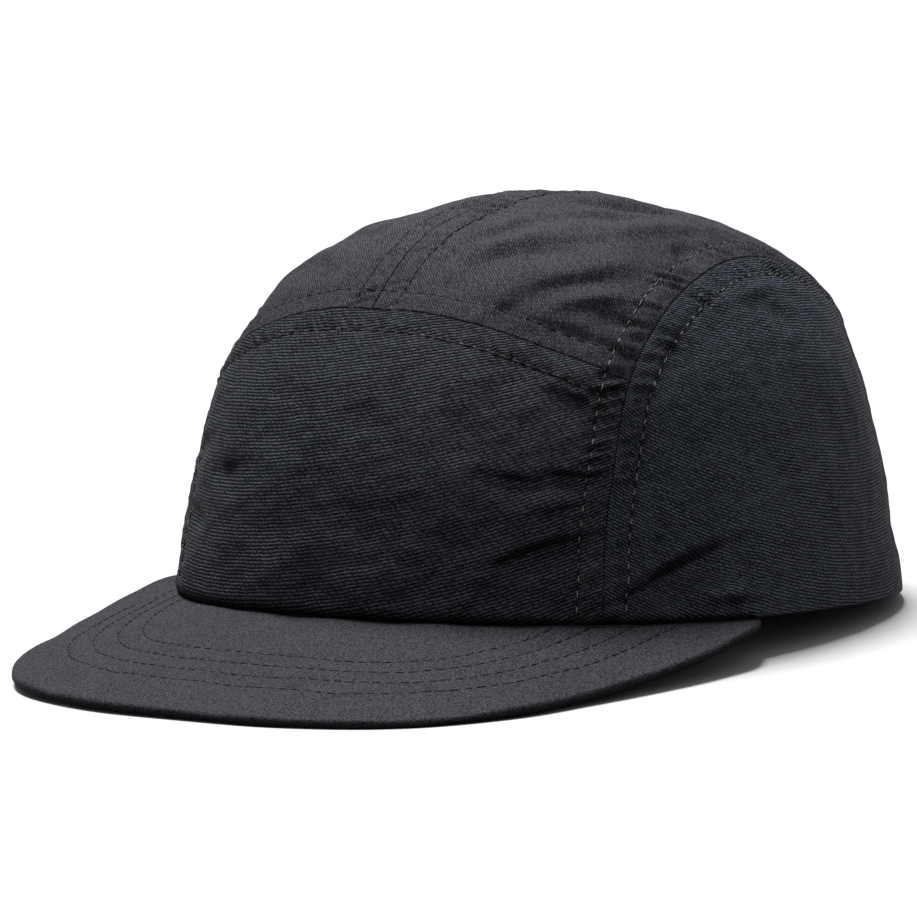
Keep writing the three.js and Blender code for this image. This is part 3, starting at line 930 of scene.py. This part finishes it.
cloth_panel("front_panel_twill", FRONT, FRONT_TWILL, "front_panel", FRONT_PUCKERS, FRONT_SHADES, FRONT_STEP)
for side in ("left", "right"):
    seam = f"side_{side}"
    node = f"top_panel_{side}"
    shape = TOP_LEFT if side == "left" else mirror_panel(TOP_LEFT)
    puckers = {**TOP_PUCKERS, seam: TOP_SIDE_PUCKER[side]}
    shades = {"cross": TOP_CROSS_SHADE, seam: TOP_SIDE_SHADE}
    cloth_panel(f"{node}_twill", shape, TOP_TWILL, node, puckers, shades, TOP_STEP)
    node = f"side_panel_{side}"
    shape = SIDE_LEFT if side == "left" else mirror_panel(SIDE_LEFT)
    puckers, shades = {seam: SIDE_PUCKER[side]}, {seam: SIDE_SHADE}
    cloth_panel(f"{node}_twill", shape, SIDE_TWILL, node, puckers, shades, SIDE_STEP)


# The peak

def peak_value(column, degrees):
    """A column of the peak's table at angles in degrees, smooth through its rows."""
    angles = np.array([row.angle for row in PEAK_EDGE], float)
    values = np.array([getattr(row, column) for row in PEAK_EDGE], float)
    angles = np.concatenate([[-angles[1]], angles, [2 * angles[-1] - angles[-2]]])
    values = np.concatenate([[values[1]], values, [2 * values[-1] - values[-2]]])
    angle = np.minimum(np.abs(degrees), PEAK_EDGE[-1].angle)
    row = np.clip(np.searchsorted(angles, angle, side="right") - 1, 1, len(angles) - 3)
    span = angles[row + 1] - angles[row]
    slope = (values[row + 1] - values[row - 1]) / (angles[row + 1] - angles[row - 1]) * span
    next_slope = (values[row + 2] - values[row]) / (angles[row + 2] - angles[row]) * span
    u = (angle - angles[row]) / span
    return values[row] + between(values[row + 1] - values[row], slope, next_slope, u)


hem_round = crown(hem_place(np.linspace(-2, 2, 2001)))
hem_angles = np.arctan2(hem_round[:, 0], -hem_round[:, 1])
hem_reaches = np.hypot(hem_round[:, 0], hem_round[:, 1])


def hem_reach(angle):
    return np.interp(angle, hem_angles, hem_reaches)


def peak_plane(x, y):
    """The height of the peak's upper face before its stitches draw it in."""
    angle = np.arctan2(x, -y)
    radius = np.hypot(x, y)
    hem = hem_reach(angle)
    reach = peak_value("reach", np.degrees(angle))
    share = np.maximum((radius - hem) / (reach - hem), 0)
    drop = peak_value("drop", np.degrees(angle)) + PEAK_ROLL * x
    return -PEAK_GAP - drop * share


def row_path(inset):
    """A row of stitches on the peak in plan, from hem to hem."""
    turn = np.linspace(-1.6, 1.6, 900)
    sin, cos = np.sin(turn), np.cos(turn)
    sides = np.abs(sin / ROW_HALF_WIDTH) ** ROW_POWER
    ends = np.abs(cos / ROW_HALF_LENGTH) ** ROW_POWER
    reach = (sides + ends) ** (-1 / ROW_POWER)
    path = np.stack([reach * sin, ROW_CENTRE_Y - reach * cos], -1)
    along = unit(np.gradient(path, axis=0))
    path = path + np.stack([-along[:, 1], along[:, 0]], -1) * inset
    angle = np.arctan2(path[:, 0], -path[:, 1])
    return path[np.hypot(path[:, 0], path[:, 1]) > hem_reach(angle) + 0.4]


row_paths = [row_path(inset) for inset in ROW_INSETS]
peak_waves = Ripple(31, 14, 14, 40, 2)
row_puckers = Ripple(32, 6, 3.6, 7, 1)
PEAK_SOFT = 0.117
ROW_CHANNEL = 0.198
ROW_WIDTH = 0.55
ROW_PUCKER = 0.027
ROW_PUCKER_WIDTH = 2.2


def peak_relief(x, y):
    """The channels that the rows of stitches draw into the peak, and its slight unevenness."""
    plan = np.stack([x, y], -1)
    height = PEAK_SOFT * peak_waves.at(plan)
    for path in row_paths:
        lengths = lengths_along(path)
        for part in in_batches(np.arange(len(plan))):
            apart = np.linalg.norm(plan[part][:, None] - path[None], axis=2)
            nearest = apart.argmin(1)
            distance = apart.min(1)
            pucker = row_puckers.at(lengths[nearest][:, None]) * bell(distance, ROW_PUCKER_WIDTH)
            height[part] += ROW_PUCKER * pucker - ROW_CHANNEL * bell(distance, ROW_WIDTH)
    return height


def peak_section(hem, reach, count):
    """Radii and depths round the peak's section, from under the hem to the lip and back below."""
    radii = [hem - PEAK_UNDER_HEM, *np.linspace(hem - 1, reach - PEAK_LIP, count)]
    depths = [0.0] * len(radii)
    for turn in np.linspace(0, math.pi / 2, 5)[1:]:
        radii.append(reach - PEAK_LIP + PEAK_LIP * math.sin(turn))
        depths.append(PEAK_LIP - PEAK_LIP * math.cos(turn))
    return np.array(radii + radii[::-1]), np.array(depths + [PEAK_THICKNESS - d for d in depths[::-1]])


PEAK_COLUMNS = 84
PEAK_STEPS = 320


def stitched_peak():
    """The peak: a flat slab's grid wrapped round its section at each angle, and closed at the tips."""
    tip = PEAK_EDGE[-1].angle
    sections = []
    for degrees in tip * np.linspace(-1, 1, PEAK_STEPS + 1):
        angle = math.radians(degrees)
        reach = float(peak_value("reach", degrees))
        radii, depths = peak_section(hem_reach(angle), reach, PEAK_COLUMNS)
        x, y = radii * math.sin(angle), -radii * math.cos(angle)
        sections.append(np.stack([x, y, peak_plane(x, y) - depths], -1))
    rings = np.stack(sections)
    around = rings.shape[1]
    flat_x, flat_y = rings[..., 0].ravel(), rings[..., 1].ravel()
    relief = peak_relief(flat_x, flat_y).reshape(rings.shape[:2])
    upper = np.arange(around) < around // 2
    rings[..., 2] += relief * np.where(upper, 1, -1)

    bpy.ops.object.select_all(action="DESELECT")
    bpy.ops.mesh.primitive_grid_add(x_subdivisions=around, y_subdivisions=PEAK_STEPS, size=2)
    piece = bpy.context.object
    flat = np.array([v.co[:] for v in piece.data.vertices])
    column = np.rint((flat[:, 0] + 1) / 2 * around).astype(int) % around
    row = np.rint((flat[:, 1] + 1) / 2 * PEAK_STEPS).astype(int)
    shaped = laid_to_rest(press_on_table(rings[row, column]))
    piece.data.vertices.foreach_set("co", shaped.astype(np.float32).ravel())
    # Painted shade: where the lip turns down, and on the underside, the peak takes its nearly black colour
    under = smoothstep(np.arange(around), PEAK_COLUMNS + 2.5, PEAK_COLUMNS + 5.5)
    layer = piece.data.attributes.new("under", "FLOAT", "POINT")
    layer.data.foreach_set("value", under[column].astype(np.float32))
    piece.data.update()
    bpy.ops.object.mode_set(mode="EDIT")
    bpy.ops.mesh.select_all(action="SELECT")
    bpy.ops.mesh.remove_doubles(threshold=1e-6)
    bpy.ops.mesh.select_all(action="DESELECT")
    bpy.ops.mesh.select_mode(type="EDGE")
    bpy.ops.mesh.select_non_manifold()
    bpy.ops.mesh.edge_face_add()
    bpy.ops.mesh.select_all(action="SELECT")
    bpy.ops.mesh.normals_make_consistent(inside=False)
    bpy.ops.object.mode_set(mode="OBJECT")
    finish_piece(piece, "peak_cover", PEAK_CLOTH, smooth_angle=50)
    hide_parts("peak")


stitched_peak()


# The stitches

OFFSET_STEPS = 4


def offset_path(disc_path, distance):
    """A path on the disc moved sideways over the crown by a distance, to the left of its direction."""
    moved = disc_path.copy()
    for _ in range(OFFSET_STEPS):
        along_x, along_y = crown_slopes(moved)
        normal = unit(np.cross(along_x, along_y))
        forward = unit(np.gradient(crown(moved), axis=0))
        aside = np.cross(normal, forward) * (distance / OFFSET_STEPS)
        xx, xy, yy = dot(along_x, along_x), dot(along_x, along_y), dot(along_y, along_y)
        wx, wy = dot(aside, along_x), dot(aside, along_y)
        spread = xx * yy - xy * xy
        moved = moved + np.stack([(yy * wx - xy * wy) / spread, (xx * wy - xy * wx) / spread], -1)
    return moved


# How unevenly stitches swing aside, vary in size and rise
STITCH_SWING = 0.05
STITCH_SIZES = (0.85, 1.12)
STITCH_RISE = 0.02

# How high the middle of each kind of stitch lies over the cloth
TOPSTITCH_LIFT = 0.07
PEAK_STITCH_LIFT = 0.09
HOLE_SHADOW_LIFT = 0.05


def copies_along(name, points, normals, stitch, start, material, lift, seed):
    """One small rounded body, copied along a line with a slight unevenness, joined as one piece."""
    bpy.ops.object.select_all(action="DESELECT")
    bpy.ops.mesh.primitive_uv_sphere_add(segments=8, ring_count=6, radius=0.5)
    piece = bpy.context.object
    body = np.array([v.co[:] for v in piece.data.vertices])
    faces = [tuple(p.vertices) for p in piece.data.polygons]
    bpy.data.objects.remove(piece)

    random = np.random.default_rng(seed)
    lengths = lengths_along(points)
    centres = np.arange(start, lengths[-1] - stitch.length / 2, stitch.pitch)

    def along_line(values, places):
        return np.stack([np.interp(places, lengths, values[:, k]) for k in range(3)], -1)

    tail = along_line(points, centres - stitch.length / 2)
    tip = along_line(points, centres + stitch.length / 2)
    centre = (tail + tip + 2 * along_line(points, centres)) / 4
    ahead = unit(tip - tail)
    up = unit(along_line(normals, centres))
    side = unit(np.cross(up, ahead))
    ahead = unit(ahead + side * random.normal(0, STITCH_SWING, (len(centres), 1)))
    side = unit(np.cross(up, ahead))
    up = np.cross(ahead, side)
    size = np.array([stitch.length, stitch.width, stitch.height])
    size = size * random.uniform(*STITCH_SIZES, (len(centres), 3))
    centre = centre + up * (lift + random.normal(0, STITCH_RISE, (len(centres), 1)))
    spread = body[None] * size[:, None]
    placed = centre[:, None] + spread[..., :1] * ahead[:, None] + spread[..., 1:2] * side[:, None]
    placed = placed + spread[..., 2:] * up[:, None]
    all_faces = [tuple(i + k * len(body) for i in face) for k in range(len(centres)) for face in faces]
    mesh = bpy.data.meshes.new(name)
    mesh.from_pydata(laid_to_rest(placed.reshape(-1, 3)).tolist(), [], all_faces)
    made = bpy.data.objects.new(name, mesh)
    bpy.context.scene.collection.objects.link(made)
    return finish_piece(made, name, material)


def stitch_run(name, points, normals, stitch, thread, seed):
    """A row of stitches, and a near-black body at each needle hole that they dive into, a painted shadow.
    """
    start = stitch.pitch / 2
    copies_along(name + "_thread", points, normals, stitch, start, thread, TOPSTITCH_LIFT, seed)
    # Painted shadow in the needle holes and the channel between stitches
    hole = NEEDLE_HOLE_SHADOW._replace(pitch=stitch.pitch)
    copies_along(name + "_holes", points, normals, hole, hole.pitch, HOLE_SHADOW, HOLE_SHADOW_LIFT, seed + 100)


def seam_x(y):
    """How far out the side seam lies on the disc, at a distance behind the apex."""
    path = whole_side_seam(SEAM_STEPS)
    return np.interp(y, path[:, 1], path[:, 0])


def sewn_on_crown(name, disc_path, puckers, stitch, thread, seed):
    """Topstitching along a path on the disc."""
    normals = crown_normal(disc_path)
    stitch_run(name, cloth_face(disc_path, puckers), normals, stitch, thread, seed)


# Where stitches stop on the disc: short of the hem's rim, and short of a seam that they meet
HEM_STOP = 0.985
SEAM_STOP = 0.01


def short_of_hem(path):
    return path[np.hypot(path[:, 0], path[:, 1]) < HEM_STOP]


for sign, side in ((1, "left"), (-1, "right")):
    seam = f"side_{side}"
    top_side = {seam: TOP_SIDE_PUCKER[side], "cross": TOP_PUCKERS["cross"]}
    for way, row, puckers in ((1, "inner", top_side), (-1, "outer", {seam: SIDE_PUCKER[side]})):
        path = offset_path(whole_side_seam(SEAM_STEPS), way * TOPSTITCH_INSET)
        path = short_of_hem(path) * np.array([sign, 1])
        seed = 41 + sign + 3 * way
        sewn_on_crown(f"side_seam_{side}_{row}", path, puckers, TOPSTITCH, PAINTED_LIT_THREAD, seed)
    path = short_of_hem(offset_path(seams["centre"].disc, sign * TOPSTITCH_INSET))
    path = path[path[:, 1] > CROSS_MIDDLE + SEAM_STOP]
    sewn_on_crown(f"centre_seam_{side}", path, TOP_PUCKERS, DARK_STITCH, DARK_THREAD, 51 + sign)

wide = np.linspace(-1, 1, 500) * SIDE_SEAM[SEAM_JUNCTION - 1].x * 1.2
for way, row, puckers in ((1, "upper", TOP_PUCKERS), (-1, "lower", FRONT_PUCKERS)):
    path = offset_path(np.stack([wide, cross_seam_y(wide)], -1), way * TOPSTITCH_INSET)
    path = path[np.abs(path[:, 0]) < seam_x(path[:, 1]) - SEAM_STOP]
    sewn_on_crown(f"cross_seam_{row}", path, puckers, CROSS_STITCH, CROSS_THREAD, 61 + way)

for number, path in enumerate(row_paths, 1):
    height = peak_plane(path[:, 0], path[:, 1]) + peak_relief(path[:, 0], path[:, 1])
    points = np.column_stack([path, height])
    slope_x = peak_plane(path[:, 0] + 1, path[:, 1]) - peak_plane(path[:, 0] - 1, path[:, 1])
    slope_y = peak_plane(path[:, 0], path[:, 1] + 1) - peak_plane(path[:, 0], path[:, 1] - 1)
    normals = unit(np.column_stack([-slope_x / 2, -slope_y / 2, np.ones(len(path))]))
    name, start, seed = f"peak_row_{number}_thread", PEAK_STITCH.pitch / 2, 70 + number
    copies_along(name, points, normals, PEAK_STITCH, start, DARK_THREAD, PEAK_STITCH_LIFT, seed)


# The stage: a pale floor, soft light from above, and the photo's view

FLOOR_RADIUS = 12
FLOOR_DARK = (0.335, 0.335, 0.335)
FLOOR_LIGHT = (0.345, 0.345, 0.345)
KEY_FROM = (-0.32, 0.14, 1)
KEY_STRENGTH = 9
KEY_SPREAD = math.radians(22)
ROOM_STRENGTH = 0.45


def pale_floor():
    finish = Finish("pale_floor", 0.9, specular=0.2)
    place = finish.node("ShaderNodeTexCoord", None, None, "Object")
    tone = finish.noise(place, 3, 2)
    material = finish.done(finish.blend(tone, FLOOR_DARK, FLOOR_LIGHT))
    bpy.ops.mesh.primitive_circle_add(vertices=128, radius=FLOOR_RADIUS, fill_type="NGON")
    floor = bpy.context.object
    floor.name = "floor"
    floor.data.materials.append(material)
    floor.select_set(False)


pale_floor()


def studio_light():
    """A broad key from above, a little to the left, and a dim pale room. The camera sees the room as
    white, as the photo's backdrop is."""
    data = bpy.data.lights.new("key", "SUN")
    data.energy = KEY_STRENGTH
    data.angle = KEY_SPREAD
    light = bpy.data.objects.new("key", data)
    bpy.context.scene.collection.objects.link(light)
    light.rotation_euler = Vector(KEY_FROM).to_track_quat("Z", "Y").to_euler()
    world = bpy.data.worlds.new("studio")
    world.use_nodes = True
    nodes, links = world.node_tree.nodes, world.node_tree.links
    room = nodes["Background"]
    room.inputs["Color"].default_value = (1, 1, 1, 1)
    room.inputs["Strength"].default_value = ROOM_STRENGTH
    backdrop = nodes.new("ShaderNodeBackground")
    backdrop.inputs["Color"].default_value = (1, 1, 1, 1)
    seen = nodes.new("ShaderNodeLightPath")
    either = nodes.new("ShaderNodeMixShader")
    links.new(seen.outputs["Is Camera Ray"], either.inputs[0])
    links.new(room.outputs[0], either.inputs[1])
    links.new(backdrop.outputs[0], either.inputs[2])
    links.new(either.outputs[0], nodes["World Output"].inputs["Surface"])
    bpy.context.scene.world = world
    bpy.context.scene.view_settings.view_transform = "Standard"


studio_light()

# The photo's camera, found by laying the cap's seams and outline over the photograph
PHOTO_SIDE = 917
PHOTO_FOCUS = 5779
CAMERA_AZIMUTH = math.radians(35.82)
CAMERA_ELEVATION = math.radians(3.46)
CAMERA_ROLL = math.radians(0.24)
CAMERA_DISTANCE = 1500
CAMERA_CENTRE = np.array([0.0, -10.0, 50.0])
AIM_RIGHT = -14.7
AIM_UP = -15.2
SENSOR_WIDTH = 36


def photo_camera():
    """The camera at the photo's place over the cap, in the hem's frame, laid to rest with it."""
    flat_cos = math.cos(CAMERA_ELEVATION)
    back = np.array([
        math.sin(CAMERA_AZIMUTH) * flat_cos,
        -math.cos(CAMERA_AZIMUTH) * flat_cos,
        math.sin(CAMERA_ELEVATION),
    ])
    right = np.array([math.cos(CAMERA_AZIMUTH), math.sin(CAMERA_AZIMUTH), 0])
    up = np.cross(back, right)
    place = CAMERA_CENTRE + back * CAMERA_DISTANCE
    aim = CAMERA_CENTRE + right * AIM_RIGHT + up * AIM_UP
    back = unit(place - aim)
    level = unit(np.cross((0, 0, 1), back))
    upright = np.cross(back, level)
    right = math.cos(CAMERA_ROLL) * level + math.sin(CAMERA_ROLL) * upright
    up = -math.sin(CAMERA_ROLL) * level + math.cos(CAMERA_ROLL) * upright
    axes = [Vector(turned_to_rest(axis)) for axis in (right, up, back)]
    data = bpy.data.cameras.new("photo_camera")
    data.sensor_width = SENSOR_WIDTH
    data.lens = SENSOR_WIDTH * PHOTO_FOCUS / PHOTO_SIDE
    data.clip_start = 0.05
    data.clip_end = 50
    camera = bpy.data.objects.new("photo_camera", data)
    bpy.context.scene.collection.objects.link(camera)
    turn = Matrix(axes).transposed().to_4x4()
    camera.matrix_world = Matrix.Translation(Vector(laid_to_rest(place))) @ turn
    bpy.context.scene.camera = camera


photo_camera()
bpy.context.view_layer.update()
